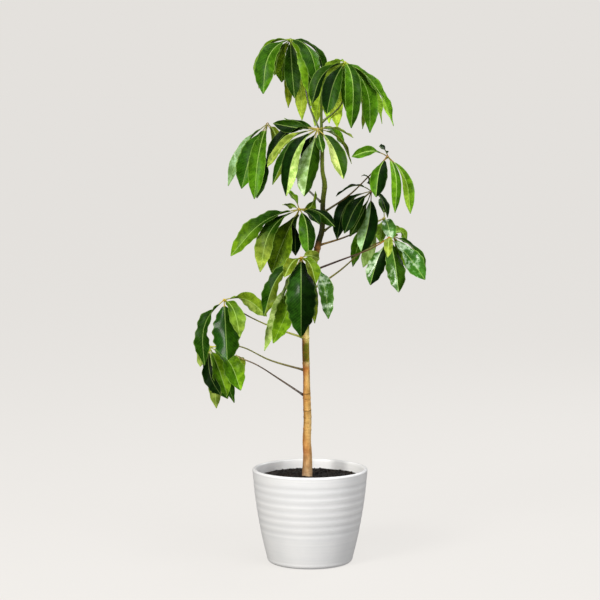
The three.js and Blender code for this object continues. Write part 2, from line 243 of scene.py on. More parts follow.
def potMaterial():
    s = Shader("whiteGlaze", Coat_Weight=0.2, Coat_Roughness=0.22, Specular_IOR_Level=0.35)
    cloud = s.noise(9, 3)
    speck = s.noise(420, 2)
    ring = s.noise(30, 2, stretch=(0.15, 0.15, 6))
    # painted shade: the glaze is drawn darker the deeper a point lies in a groove
    grooveShade = s.step(s.read("groove", "Fac"), 0.2, 1.0)
    colour = s.mix(s.step(cloud * 0.6 + ring * 0.4, 0.35, 0.7), pot["white"], pot["cloud"])
    colour = s.mix(grooveShade * 0.4, colour, pot["grooveShade"])
    colour = s.mix(s.step(speck, 0.66, 0.78) * 0.16, colour, pot["speck"])
    s.bump(cloud * 0.5 + ring * 0.7 + speck * 0.05, 0.35, 0.0012)
    return s.finish(Base_Color=colour, Roughness=s.step(cloud, 0.2, 0.9) * 0.14 + pot["roughness"])


# The profile, as radius and height, and how deep in a groove each of its points lies. It runs from the
# middle of the foot up the outside, over the rim and down the inside to the middle of the floor.
def potProfile():
    height, wall, floor, edgeRadius = pot["height"], pot["wall"], pot["floor"], pot["edgeRadius"]
    under = np.array([[pot["poleRadius"], 0], [pot["middleRadius"], 0]])
    turn = np.radians(np.linspace(-90, 0, pot["edgeRows"]))
    edge = wallRadius(edgeRadius) - edgeRadius
    foot = np.stack([edge + edgeRadius * np.cos(turn), edgeRadius * (1 + np.sin(turn))], -1)
    foot[0] = [pot["footRadius"], 0]
    crest = wall / 2
    z = np.linspace(edgeRadius + 2, height - crest - 1, pot["sideRows"])
    # one cosine wave for each groove, from the wall at the ridges to the full depth between them
    count = (z - pot["lowestGroove"]) / pot["pitch"]
    inGrooves = (count > -0.5) & (count < pot["grooves"] - 0.5)
    groove = np.where(inGrooves, 0.5 + 0.5 * np.cos(2 * math.pi * count), 0)
    side = np.stack([wallRadius(z) - pot["depth"] * groove, z], -1)
    turn = np.radians(np.linspace(0, 180, pot["rimRows"]))
    middle = wallRadius(height) - crest
    rim = np.stack([middle + crest * np.cos(turn), height - crest * (1 - np.sin(turn))], -1)
    z = np.linspace(height - crest - 6, floor + 12, pot["innerRows"])
    inner = np.stack([wallRadius(z) - wall, z], -1)
    corner = wallRadius(floor) - wall
    bottom = np.array([[corner - 3, floor + 5], [corner - 14, floor],
                       [pot["middleRadius"], floor], [pot["poleRadius"], floor]])
    inGroove = [np.zeros(len(under) + len(foot)), groove, np.zeros(len(rim) + len(inner) + len(bottom))]
    return np.vstack([under, foot, side, rim, inner, bottom]), np.concatenate(inGroove)


# The profile turned about the upright axis.
def buildPot():
    profile, inGroove = potProfile()
    rows, sides = len(profile), pot["sides"]
    around = np.linspace(0, 2 * math.pi, sides, endpoint=False)
    r, h = profile[:, :1], profile[:, 1:]
    points = np.stack([r * np.cos(around), r * np.sin(around), np.repeat(h, sides, 1)], -1)
    faces = closedTube(rows, sides)
    attributes = {"groove": np.repeat(inGroove, sides)}
    makePiece("potGlazed", points.reshape(-1, 3), faces, potMaterial(), ["pot"], attributes)
    print("pot made:", len(faces), "faces")


buildPot()


# The soil: a low dome of dark crumbs with the trunk's hole in it

soil = dict(
    top=238, dome=5, clearance=1, holeCentre=(-8, 0), hole=15.6, sideHeights=[200, 132, 60, 25],
    floor=14.6, floorInset=14, rings=70, sides=200,
    lumps=[(1.6, 46, 1), (0.7, 13, 2)],  # height, size and seed
    crumbs=1150, smallest=1.1, largest=3.6, lift=0.25, stretch=(0.7, 1.3), lumpy=(0.8, 1.15),
    fromTrunk=19, fromWall=5, seed=4,
    dark=tint(21, 18, 16), brown=tint(58, 46, 37), pale=tint(112, 96, 78),
)


# Height of the soil: a shallow cone from the wall to the middle with two sizes of smooth lumps.
def soilHeight(x, y):
    reach = wallRadius(soil["top"]) - pot["wall"]
    share = np.hypot(x, y) / reach
    flat = np.stack([x, y, np.zeros_like(x)], -1)
    lumps = sum(ripples(flat, *row) for row in soil["lumps"])
    return soil["top"] + soil["dome"] * (1 - share) + lumps * np.clip((1 - share) * 8, 0, 1)


def soilMaterial():
    s = Shader("pottingSoil", Specular_IOR_Level=0.25)
    grain = s.noise(260, 4, roughness=0.65)
    patch = s.noise(38, 3)
    dry = s.step(grain * 0.6 + patch * 0.4, 0.5, 0.66)
    colour = s.mix(dry, soil["dark"], soil["brown"])
    colour = s.mix(s.step(s.noise(700, 2), 0.68, 0.76) * 0.55, colour, soil["pale"])
    s.bump(grain, 0.8, 0.0015)
    return s.finish(Base_Color=colour, Roughness=s.step(patch, 0.2, 0.8) * 0.2 + 0.75)


# Rings of the soil. The top is straight lines from the hole's circle to the wall's circle, lifted to the
# soil's height. Then the rings go down the pot's inner wall, under to the hole and up it to the first ring.
def soilRings(reach):
    sides = soil["sides"]
    around = np.linspace(0, 2 * math.pi, sides, endpoint=False)
    circle = np.stack([np.cos(around), np.sin(around)], -1)
    hole = np.array(soil["holeCentre"]) + soil["hole"] * circle
    share = np.linspace(0, 1, soil["rings"])[:, None, None] ** 0.8
    flat = hole * (1 - share) + reach * circle * share
    top = np.dstack([flat, soilHeight(flat[..., 0], flat[..., 1])])
    heights = np.array(soil["sideHeights"] + [soil["floor"]])
    radii = wallRadius(heights) - pot["wall"] - soil["clearance"]
    radii[-1] -= soil["floorInset"]
    side = np.stack([radii[:, None] * circle[:, 0], radii[:, None] * circle[:, 1],
                     np.repeat(heights[:, None], sides, 1)], -1)
    hole = np.dstack([hole[None], np.full((1, sides), soil["floor"])])
    return np.vstack([top, side, hole, top[:1]])


# A crumb before it is stretched: three rings of six points between two poles, with 24 faces.
def crumbBall():
    corners = 6
    turn = np.linspace(0, 2 * math.pi, corners, endpoint=False)
    belt = np.radians([-50, 0, 50])[:, None]
    rings = [np.cos(belt) * np.cos(turn), np.cos(belt) * np.sin(turn), np.repeat(np.sin(belt), corners, 1)]
    points = np.vstack([[[0, 0, -1]], np.stack(rings, -1).reshape(-1, 3), [[0, 0, 1]]])
    topPole = len(points) - 1
    lastRing = topPole - corners
    j = np.arange(corners)
    k = (j + 1) % corners
    low = np.stack([np.zeros(corners, int), k + 1, j + 1], -1).tolist()
    middle = (tubeFaces(len(belt), corners) + 1).tolist()
    high = np.stack([j + lastRing, k + lastRing, np.full(corners, topPole)], -1).tolist()
    return points, low + middle + high


# Lumpy balls spread evenly over the top and half sunk in it, most of them small, clear of trunk and wall.
def scatterCrumbs(reach, start):
    ball, ballFaces = crumbBall()
    random = np.random.default_rng(soil["seed"])
    angles = random.uniform(0, 2 * math.pi, soil["crumbs"])
    far = (reach - soil["fromWall"]) * np.sqrt(random.uniform(0.02, 1, soil["crumbs"]))
    sizes = random.uniform(0, 1, soil["crumbs"]) ** 3
    sizes = soil["smallest"] + (soil["largest"] - soil["smallest"]) * sizes
    points, faces = [], []
    for angle, r, size in zip(angles, far, sizes):
        x, y = r * math.cos(angle), r * math.sin(angle)
        if math.hypot(x - soil["holeCentre"][0], y) < soil["fromTrunk"]:
            continue
        z = soilHeight(np.array([x]), np.array([y]))[0] + size * soil["lift"]
        stretch = random.uniform(*soil["stretch"], 3) * size
        shape = ball * random.uniform(*soil["lumpy"], (len(ball), 1)) * stretch
        points.append(shape + [x, y, z])
        faces += [[corner + start for corner in face] for face in ballFaces]
        start += len(ball)
    return points, faces


# The soil's rings and its crumbs as one mesh.
def buildSoil():
    reach = wallRadius(soil["top"]) - pot["wall"] - soil["clearance"]
    rings = soilRings(reach)
    body = rings[:-1].reshape(-1, 3)
    # the last ring is the first one again, so its corners take the first ones' numbers
    bodyFaces = tubeFaces(len(rings), soil["sides"])[:, ::-1] % len(body)
    crumbs, crumbFaces = scatterCrumbs(reach, len(body))
    faces = bodyFaces.tolist() + crumbFaces
    makePiece("soilCrumbs", np.vstack([body] + crumbs), faces, soilMaterial(), ["soil"])
    print("soil made:", len(faces), "faces")


buildSoil()


# The trunk: a slim stem with rings where leaves fell, tan bark below and green skin above

trunk = dict(
    # x, y, z and radius from the foot in the soil to the tip
    path=[
        [-8, 0, 120, 13], [-8, 0, 232, 15], [-7, 2, 302, 12.6], [-9, 3, 344, 11.9], [-7, 2, 401, 11.2],
        [-9, -2, 457, 10.6], [-10, -3, 525, 9.9], [-12, 0, 612, 10], [-10, 2, 682, 9.4], [-3, 2, 766, 9],
        [22, 0, 891, 8.6], [33, -2, 935, 7.8], [36, 0, 1016, 7], [40, 2, 1058, 7], [34, 0, 1099, 6],
        [33, 0, 1168, 5.4], [31, 0, 1237, 4], [31, 0, 1300, 2.6], [32, 0, 1314, 1.2],
    ],
    # height, how far it stands out, half its height, and the darkness of its line, on which side and how wide
    scars=[
        [375, 0.7, 5, 0.2, 0, 2], [409, 0.9, 4, 0.9, -0.8, 0.5], [429, 0.8, 4, 1.0, 0.2, 1.2],
        [463, 0.9, 4, 1.0, -0.2, 0.3], [477, 0.6, 4, 0.9, 0, 1], [561, 0.9, 5, 0.1, 0, 2],
        [632, 1.2, 6, 0.2, 0, 2], [883, 1.6, 6, 0.6, 0, 2], [1050, 0.8, 5, 0.6, 0, 2],
    ],
    # height and the skin's colour there: painted shade on the left, its own colour in front and painted
    # light on the right
    skin=[
        [235, (142, 114, 92), (196, 168, 134), (188, 162, 132)],
        [270, (150, 114, 74), (206, 168, 120), (206, 172, 130)],
        [320, (150, 94, 50), (206, 148, 84), (212, 168, 112)],
        [360, (164, 114, 58), (216, 170, 100), (226, 192, 130)],
        [400, (160, 114, 58), (222, 180, 108), (228, 194, 132)],
        [460, (146, 96, 48), (212, 162, 88), (220, 176, 106)],
        [520, (156, 100, 52), (212, 164, 94), (218, 182, 114)],
        [546, (146, 74, 34), (198, 128, 60), (208, 154, 84)],
        [560, (160, 106, 54), (228, 192, 126), (236, 214, 160)],
        [568, (100, 62, 26), (96, 98, 22), (150, 140, 50)],
        [614, (120, 62, 26), (98, 108, 16), (176, 160, 64)],
        [624, (150, 104, 46), (226, 204, 116), (214, 204, 116)],
        [636, (190, 150, 76), (244, 224, 150), (240, 228, 160)],
        [660, (96, 92, 30), (126, 128, 44), (140, 142, 60)],
        [860, (80, 82, 28), (104, 106, 36), (124, 126, 54)],
        [884, (96, 62, 28), (150, 106, 56), (150, 112, 66)],
        # painted shadow of the fronds: the dark band from 905 to 1000
        [905, (24, 26, 8), (34, 38, 12), (70, 72, 24)],
        [1000, (28, 32, 10), (44, 50, 14), (84, 90, 30)],
        [1030, (66, 78, 20), (88, 104, 26), (114, 128, 44)],
        [1060, (96, 114, 36), (126, 146, 50), (138, 156, 64)],
        [1130, (120, 140, 50), (142, 162, 62), (150, 168, 76)],
        [1200, (84, 104, 30), (104, 126, 40), (120, 140, 56)],
        [1310, (40, 56, 14), (56, 74, 20), (70, 90, 26)],
    ],
    # height, size, seed and stretch of the bark's flutes and wrinkles, and of the wobbles of the scars' lines
    # and of the edges of the painted shade and painted light
    flutes=[(0.35, 17, 5, (1, 1, 0.2)), (0.16, 9, 6, (0.6, 0.6, 2))],
    lineWobble=(0.6, 15, 7, (1, 1, 0.1)), paintedSideWobble=(0.18, 20, 8, (1, 1, 0.5)),
    inset=0.2, lineDepth=0.4, smoothAbove=1290, fade=200, rings=620, sides=64,
    roughness=0.62, worn=tint(196, 188, 172), line=tint(64, 38, 20), speck=tint(150, 76, 36),
)


# Centre and radius of the trunk at rings from foot to tip.
def trunkRings(count):
    places = np.linspace(0, 1, count)
    path = np.array(trunk["path"], float)
    centre = smoothPath(path[:, :3], places)
    radius = np.interp(places * (len(path) - 1), np.arange(len(path)), path[:, 3])
    return centre, radius


# Centre and radius of the trunk at a height: those of the nearest of many rings.
def trunkAt(height):
    centre, radius = trunkRings(2000)
    i = int(np.argmin(np.abs(centre[:, 2] - height)))
    return centre[i], radius[i]


def barkMaterial():
    t = trunk
    s = Shader("bark", Specular_IOR_Level=0.15)
    z = s.parts(s.node("TexCoord", output="Object"))[2]
    streak = s.noise(60, 4, stretch=(1, 1, 0.22))
    rings = s.noise(150, 3, stretch=(0.2, 0.2, 1.4))
    patch = s.noise(24, 3)
    blotch = s.noise(90, 3, stretch=(1, 1, 0.7))
    worn = s.step(streak * 0.3 + patch * 0.3 + blotch * 0.4, 0.38, 0.6)
    # the tone holds the skin's colour with painted shade on the left and painted light on the right
    colour = s.shade(s.read("tone", "Color"), worn, t["worn"])
    barky = s.step(z, 0.66, 0.6)
    colour = s.mix(s.step(rings, 0.56, 0.7) * barky * 0.35, colour, t["speck"])
    colour = s.mix(s.read("scar", "Fac") * 0.85, colour, t["line"])
    freckle = s.step(s.noise(330, 2, stretch=(1, 1, 0.6)), 0.64, 0.72)
    colour = s.mix(freckle * 0.4, colour, t["speck"])
    s.bump(rings * 0.7 + streak * 0.6 - freckle * 0.2, 0.6, 0.0014)
    return s.finish(Base_Color=colour, Roughness=t["roughness"] + (streak - 0.5) * 0.2)


# The dark line below each scar: a narrow bell up the stem, as dark and as far round it as the row says.
def scarLines(height, sideways, wobble):
    line = np.zeros_like(sideways)
    for at, _, half, dark, middle, reach in trunk["scars"]:
        level = np.exp(-(((height[:, None] - at + 0.35 * half + wobble) / 1.2) ** 2))
        line = np.maximum(line, dark * level * np.clip((reach - np.abs(sideways - middle)) * 5, 0, 1))
    return line


# The skin's colour: between the rows above and below a height, and between the painted shade on the left, the
# front and the painted light on the right by how far across the stem a point lies, -1 to 1.
def barkTone(height, across):
    heights = np.array([row[0] for row in trunk["skin"]])
    colours = np.array([[tint(*colour, alpha=False) for colour in row[1:]] for row in trunk["skin"]])
    above = np.clip(np.searchsorted(heights, height), 1, len(heights) - 1)
    lower, upper = heights[above - 1], heights[above]
    share = np.clip((height - lower) / (upper - lower), 0, 1)[:, None, None]
    skin = colours[above - 1] * (1 - share) + colours[above] * share
    left, front, right = skin.transpose(1, 0, 2)[:, :, None]
    across = across[..., None]
    return front + np.where(across < 0, left - front, right - front) * np.abs(across) ** 1.3


# Rings along the stem, swollen by a bell at each scar. Long shallow flutes and small wrinkles of the bark,
# which fade out towards the tip, and the scars' lines move the skin in and out.
def buildTrunk():
    rows, sides = trunk["rings"], trunk["sides"]
    centre, radius = trunkRings(rows)
    height = centre[:, 2]
    swell = np.zeros(rows)
    for at, rise, half, *_ in trunk["scars"]:
        swell += rise * np.exp(-(((height - at) / (0.55 * half)) ** 2))
    rings = rodRings(centre, radius + swell, sides)
    outward = rings - centre[:, None]
    outward /= np.linalg.norm(outward, axis=-1, keepdims=True)
    sideways = outward[..., 0]
    fade = np.clip((trunk["smoothAbove"] - height) / trunk["fade"], 0, 1)[:, None]
    flute = sum(ripples(rings, *row) for row in trunk["flutes"])
    line = scarLines(height, sideways, ripples(rings, *trunk["lineWobble"]))
    points = rings + outward * ((flute - trunk["inset"]) * fade - trunk["lineDepth"] * line)[..., None]
    # how far across the stem a point lies, which sets how much painted shade and painted light it gets
    across = np.clip(sideways + ripples(rings, *trunk["paintedSideWobble"]), -1, 1)
    attributes = {"scar": line.ravel(), "tone": barkTone(height, across).reshape(-1, 3)}
    faces = closedTube(rows, sides)
    makePiece("trunkBark", points.reshape(-1, 3), faces, barkMaterial(), ["trunk"], attributes)
    print("trunk made:", len(faces), "faces")


buildTrunk()


# The fronds: long stalks with drooping leaflets

leaf = dict(
    midlineSteps=60, stalkRadius=1.4, stalkRows=5, rows=46, ringSpacing=38, lastRing=0.9975,
    edge=0.45, middle=0.7, rib=1.5,  # thickness at the edge and in the middle, and how deep the rib stands
    camber=0.07, veinSpacing=9, pucker=0.64,
    scallop=0.012, leftScallops=27, rightScallops=24, frill=0.14, frillSpacing=21,
    acrossHalf=[1, 0.95, 0.84, 0.7, 0.54, 0.38, 0.23, 0.12, 0.045],  # points from the edge to the rib
    light=(0.9, 1.12), red=(0.9, 1.15), blue=(0.9, 1.1), tipFrom=0.42, tipFade=0.4, seed=100,
    # pale is the colour of the painted highlight patches on shiny leaflets
    ribTone=tint(172, 202, 108), vein=tint(84, 140, 36), rim=tint(150, 186, 84), pale=tint(206, 224, 196),
    cloud=tint(204, 206, 188), blotch=tint(190, 202, 160), fine=tint(228, 230, 220),
)
frondStalk = dict(
    radius=1.9, foot=3.2, inside=1.5, collar=1.3, collarLength=7, hub=4.2, knobLength=0.05,
    dome=[25, 50, 72], domeHeight=0.75, rows=70, sides=12,
    tonePlaces=[0.08, 0.4, 0.72, 0.94], worn=tint(205, 200, 190),
)

# Upper side and underside of a leaflet, its gloss and its painted glow of light shining through, for each
# letter.
# The colours are partly painted light and shade: the near-black k stands for shade, the pale b for a painted
# sheen and the limes l, y and v for light shining through.
greens = dict(
    k=[(13, 40, 3), (54, 88, 16), 0, 0], d=[(38, 74, 4), (90, 124, 26), 0.01, 0.02],
    h=[(34, 80, 10), (84, 120, 26), 0.12, 0.02],
    e=[(50, 94, 8), (106, 142, 30), 0.02, 0.03], m=[(74, 122, 14), (122, 154, 34), 0.02, 0.04],
    f=[(114, 162, 26), (158, 186, 42), 0.03, 0.06], l=[(160, 196, 62), (186, 212, 64), 0.04, 0.1],
    y=[(158, 194, 58), (176, 208, 68), 0.03, 0.2], o=[(106, 120, 24), (134, 146, 34), 0.03, 0.04],
    p=[(146, 168, 64), (158, 178, 84), 0.03, 0.05], g=[(74, 130, 40), (140, 174, 72), 0.5, 0.02],
    b=[(156, 194, 142), (154, 188, 126), 0.2, 0.02], v=[(190, 216, 132), (202, 224, 142), 0.05, 0.06],
    q=[(100, 132, 18), (130, 156, 36), 0.03, 0.04],
)

# Colours of each long stalk at the trunk, at two places on its way and at the hub
stalks = dict(
    frond_top_left=[(84, 104, 22), (60, 70, 24), (60, 70, 24), (130, 150, 40)],
    frond_top_right=[(96, 116, 24), (70, 80, 24), (70, 80, 24), (170, 180, 50)],
    frond_upper_middle=[(116, 138, 40), (140, 160, 60), (150, 160, 60), (180, 150, 80)],
    frond_upper_left_back=[(60, 60, 30), (84, 76, 50), (110, 96, 70), (170, 150, 110)],
    frond_right_high=[(84, 80, 36), (96, 78, 40), (96, 78, 40), (170, 120, 70)],
    frond_right_middle=[(84, 84, 30), (90, 80, 36), (70, 52, 40), (120, 84, 60)],
    frond_right_low=[(60, 40, 34), (74, 50, 40), (110, 84, 40), (190, 140, 40)],
    frond_right_low_back=[(150, 150, 60), (150, 146, 60), (96, 84, 36), (190, 140, 40)],
    frond_right_inner=[(150, 120, 60), (120, 100, 60), (120, 100, 60), (180, 170, 60)],
    frond_left_middle=[(106, 118, 36), (120, 130, 40), (150, 140, 50), (180, 150, 60)],
    frond_centre_front=[(150, 160, 40), (150, 160, 40), (150, 160, 40), (200, 150, 40)],
    frond_low_left_high=[(186, 190, 90), (186, 190, 76), (70, 48, 40), (210, 180, 50)],
    frond_low_left_outer=[(110, 96, 60), (170, 170, 96), (170, 170, 96), (200, 200, 70)],
    frond_low_left_back=[(60, 46, 40), (126, 106, 84), (140, 120, 96), (160, 140, 76)],
)

# Each frond: its name, the height where it leaves the trunk, the points that its stalk bends through, its
# hub, the length of its leaflets' own stalks, and a row for each leaflet: azimuth, slope at the hub and at
# the tip, length, width, roll, fold, wave, and the greens of its left half, its right half and its tip.
# Different greens on the two halves paint light on one half and shade on the other.
fronds = [
    ("frond_top_left", 1195, [[-5, 20, 1285], [-20, 40, 1380]], [-55, 60, 1460], 10, [
        [155, 0, -90, 200, 42, -55, 20, 3, "qm"], [-140, -15, -85, 200, 62, -35, 15, 3, "em"],
        [-155, -40, -80, 115, 42, -75, 20, 3, "q"], [140, -60, -85, 125, 48, -130, 20, 3, "f"],
        [-75, -80, -70, 170, 48, 15, 15, 3, "d"], [95, -85, -60, 205, 30, -5, 20, 3, "f"],
        [40, -60, -90, 145, 32, 60, 20, 3, "m"], [-50, -20, -90, 185, 50, 20, -25, 3, "fd"],
        [-50, -5, -75, 195, 56, 10, -20, 3, "dm"], [15, -5, -75, 170, 36, 55, 20, 3, "kd"],
        [65, -50, -85, 245, 46, -25, 20, 3, "y"], [55, -20, -90, 235, 48, -25, 20, 3, "y"],
    ]),
    ("frond_top_right", 1230, [[85, -25, 1280], [95, -50, 1340]], [95, -70, 1395], 10, [
        [175, -15, -75, 155, 48, -65, 20, 2, "dk"], [-135, -45, -75, 160, 54, -40, 15, 2, "kd"],
        [-85, -70, -90, 135, 38, -25, 20, 2, "m"], [-75, -20, -105, 220, 46, 20, 15, 2, "md"],
        [-25, -50, -90, 195, 32, 5, 20, 2, "l"], [-30, -35, -90, 220, 50, 45, 15, 3, "m"],
        [-15, -25, -55, 155, 34, 35, 20, 3, "m"], [10, -25, -70, 230, 32, 60, 20, 4, "lf"],
        [35, -20, -75, 225, 36, 65, 20, 3, "l"], [110, 10, -95, 265, 48, 10, 20, 3, "y"],
        [110, -20, -105, 220, 50, 30, 20, 3, "y"], [125, -15, -75, 245, 46, 25, 20, 3, "y"],
    ]),
    ("frond_upper_middle", 1155, [[30, -40, 1175], [25, -85, 1200]], [20, -120, 1215], 24, [
        [130, 5, 15, 145, 32, -140, 20, 2, "d"], [155, 0, 10, 135, 38, -95, 20, 2, "dk"],
        [175, -10, -55, 180, 38, -45, 20, 2, "p"], [-160, -25, -65, 205, 36, -50, 25, 2, "do"],
        [-140, -25, -80, 225, 54, -45, 30, 2, "kv"], [115, -40, -50, 130, 38, -145, 20, 2, "k"],
        [-115, -55, -70, 200, 64, -45, -28, 2, "bd"], [-40, -35, -70, 165, 50, 35, 25, 2, "vd"],
        [50, 5, -40, 135, 28, 90, 20, 2, "f"], [25, -10, -65, 150, 30, 35, 20, 2, "o"],
        [10, 10, -30, 105, 28, 0, 20, 2, "p"], [-75, -60, -45, 80, 26, 15, 20, 2, "d"],
        [155, 10, -60, 205, 38, -85, 20, 2, "k"],
    ]),
    ("frond_upper_left_back", 1005, [[-35, 45, 1075], [-75, 90, 1155]], [-120, 130, 1225], 20, [
        [-160, -55, -75, 200, 66, -60, 20, 3, "em"], [160, -35, -70, 220, 38, -80, 20, 2, "b"],
        [-115, -50, -80, 230, 52, -20, 20, 2, "m"], [145, -80, -80, 215, 50, -140, 20, 2, "kd"],
        [-60, -20, -70, 115, 32, 30, 20, 2, "o"],
    ]),
    ("frond_right_high", 980, [[105, -40, 1030], [160, -75, 1085]], [210, -110, 1140], 20, [
        [-170, 30, -20, 105, 32, -75, 20, 2, "m"], [-140, 75, 20, 45, 26, -50, 20, 2, "k"],
        [-120, -25, -80, 135, 52, -20, -25, 2, "mk"], [-70, -25, -100, 180, 28, 15, -10, 1, "fm"],
        [-20, -40, -85, 175, 34, 65, 20, 1, "yf"],
    ]),
    ("frond_right_middle", 925, [[85, 5, 965], [130, 5, 1005]], [170, 10, 1040], 24, [
        [-165, 35, -35, 115, 24, 5, 20, 2, "k"], [-160, -10, -80, 185, 44, -50, 20, 2, "k"],
        [-135, -25, -60, 160, 48, -40, 20, 2, "k"], [-170, -70, -60, 140, 32, -75, 20, 2, "d"],
        [-115, -85, -55, 180, 58, -20, -25, 2, "bk"], [100, 50, 5, 115, 30, -170, 20, 2, "k"],
        [-50, -10, -70, 105, 28, -5, 20, 2, "k"],
    ]),
    ("frond_right_low", 820, [[90, -45, 855], [160, -90, 885]], [215, -130, 920], 12, [
        [-10, -40, -55, 150, 58, 75, 20, 4, "g"], [-65, -60, -75, 155, 56, 30, -25, 5, "gd"],
        [-95, 0, -40, 115, 26, -5, 20, 3, "p"], [-165, -55, -75, 140, 54, -70, -22, 4, "gk"],
    ]),
    ("frond_right_low_back", 760, [[80, 30, 815], [155, 55, 875]], [235, 80, 910], 12, [
        [-5, -20, -70, 150, 30, 60, 20, 4, "d"], [60, 35, -40, 95, 24, 120, 20, 2, "l"],
        [85, 20, -5, 110, 34, 145, 20, 2, "l"], [35, -50, -60, 115, 42, 115, 20, 3, "f"],
        [80, -20, -95, 130, 42, 170, 20, 3, "m"],
    ]),
    ("frond_right_inner", 890, [[95, 35, 910], [155, 70, 935]], [210, 100, 960], 16, [
        [160, -60, -70, 155, 42, -105, 20, 2, "v"], [145, -20, -75, 190, 38, -115, 20, 3, "m"],
        [95, 60, 30, 85, 28, 0, 20, 2, "d"], [-80, -10, -50, 105, 44, 0, 20, 3, "g"],
        [-105, -30, -65, 85, 36, -5, 20, 3, "l"],
    ]),
    ("frond_left_middle", 970, [[15, -30, 990], [-5, -55, 995]], [-30, -80, 995], 20, [
        [-175, -10, -50, 235, 58, -60, 20, 4, "ddq"], [-160, -20, -80, 220, 56, -50, 15, 3, "ddp"],
        [-170, -60, -70, 190, 72, -80, 20, 2, "q"], [-70, -20, -85, 155, 50, 15, -25, 2, "md"],
        [105, -40, -95, 145, 42, -155, 20, 2, "k"], [-10, 5, -45, 115, 36, 70, -20, 2, "dk"],
        [-40, -10, -40, 85, 36, 20, 20, 2, "k"], [125, 60, 25, 80, 24, 0, 20, 2, "q"],
        [40, -15, 75, 90, 32, 130, 20, 2, "q"], [115, 10, 0, 110, 20, -155, 20, 2, "q"],
    ]),
    ("frond_centre_front", 805, [[5, -65, 835], [-5, -130, 860]], [-25, -185, 870], 14, [
        [-90, -25, -105, 250, 94, 0, -28, 5, "hk"], [-170, -30, -75, 195, 46, -70, 20, 5, "do"],
        [-120, 0, -45, 105, 34, -30, 20, 3, "o"], [-60, 0, -65, 110, 42, 0, 20, 3, "oq"],
        [-15, -35, -85, 190, 44, 65, 20, 5, "g"], [50, 15, -20, 80, 32, 110, 20, 3, "p"],
        [40, -60, -85, 190, 30, -50, 20, 3, "o"], [160, -80, -65, 250, 58, -105, 20, 5, "f"],
        [150, -60, -70, 285, 36, -115, 20, 5, "v"],
    ]),
    ("frond_low_left_high", 630, [[-100, -40, 665], [-175, -85, 705]], [-235, -120, 750], 14, [
        [-170, -40, -95, 200, 48, -65, 20, 6, "d"], [-80, -70, -70, 170, 80, 15, -22, 6, "hd"],
        [-60, -10, -70, 140, 48, 5, 20, 4, "qqp"], [0, 15, -45, 135, 44, -100, 20, 4, "qp"],
    ]),
    ("frond_low_left_outer", 540, [[-110, -10, 570], [-195, -20, 610]], [-280, -30, 610], 14, [
        [-65, -105, -25, 170, 44, 65, 20, 5, "k"], [-30, -60, -70, 145, 52, 60, 20, 4, "mf"],
        [-25, -20, -70, 160, 60, 60, 20, 5, "mf"], [25, -80, -85, 175, 42, -65, 20, 4, "p"],
        [15, -60, -70, 175, 38, 75, 20, 4, "e"], [125, 0, -85, 90, 36, 65, 20, 3, "p"],
    ]),
    ("frond_low_left_back", 465, [[-85, 40, 510], [-150, 85, 545]], [-210, 120, 565], 14, [
        [80, 0, -95, 135, 30, 20, 20, 4, "y"], [155, 0, -90, 140, 46, -85, 20, 4, "e"],
        [-155, -20, -115, 150, 48, -65, 20, 4, "d"],
    ]),
]


# How much of a leaflet's bend is done at a place: it starts and ends gently, and ends four fifths down.
def ease(t):
    return softStep(t / 0.8)


# Middle line of a leaflet: even steps whose slope goes from the first value to the last.
def midline(hub, azimuth, slopeStart, slopeEnd, length):
    steps = leaf["midlineSteps"]
    slope = np.radians(slopeStart + (slopeEnd - slopeStart) * ease((np.arange(steps) + 0.5) / steps))
    flat = np.cos(slope)
    way = np.stack([flat * math.cos(azimuth), flat * math.sin(azimuth), np.sin(slope)], -1)
    return np.vstack([hub, hub + np.cumsum(way * length / steps, 0)])


# Points at places from 0 to 1 on a line of even steps.
def alongLine(line, t):
    at = np.linspace(0, 1, len(line))
    return np.stack([np.interp(t, at, line[:, k]) for k in range(3)], -1)


# Places of a leaflet's rings: down its blade, 0 on the stalk and about 1 at the tip, and down all of it.
def leafletPlaces(stalk, length):
    stalkRows = leaf["stalkRows"]
    u = np.concatenate([np.zeros(stalkRows), np.linspace(0.004, 1, leaf["rows"]) ** 1.08])
    u[-1] = leaf["lastRing"]
    t = (stalk + u * (length - stalk)) / length
    t[:stalkRows] = np.linspace(0, stalk / length, stalkRows, endpoint=False)
    return u, t


# Half the blade's width: a sine arch that is fullest just past the middle and is drawn in near the tip.
def halfWidths(u, width):
    half = (width / 2) * np.sin(math.pi * u**1.1) ** 0.62
    half = half * (1 - 0.45 * np.clip((u - 0.84) / 0.16, 0, 1) ** 1.3)
    return np.where(u > 0, np.maximum(half, leaf["stalkRadius"] * 0.9), 0)[:, None]


# A sine wave down the blade, with one turn for each spacing.
def waveDown(u, blade, spacing, phase):
    return np.sin(2 * math.pi * u * blade / spacing + phase)


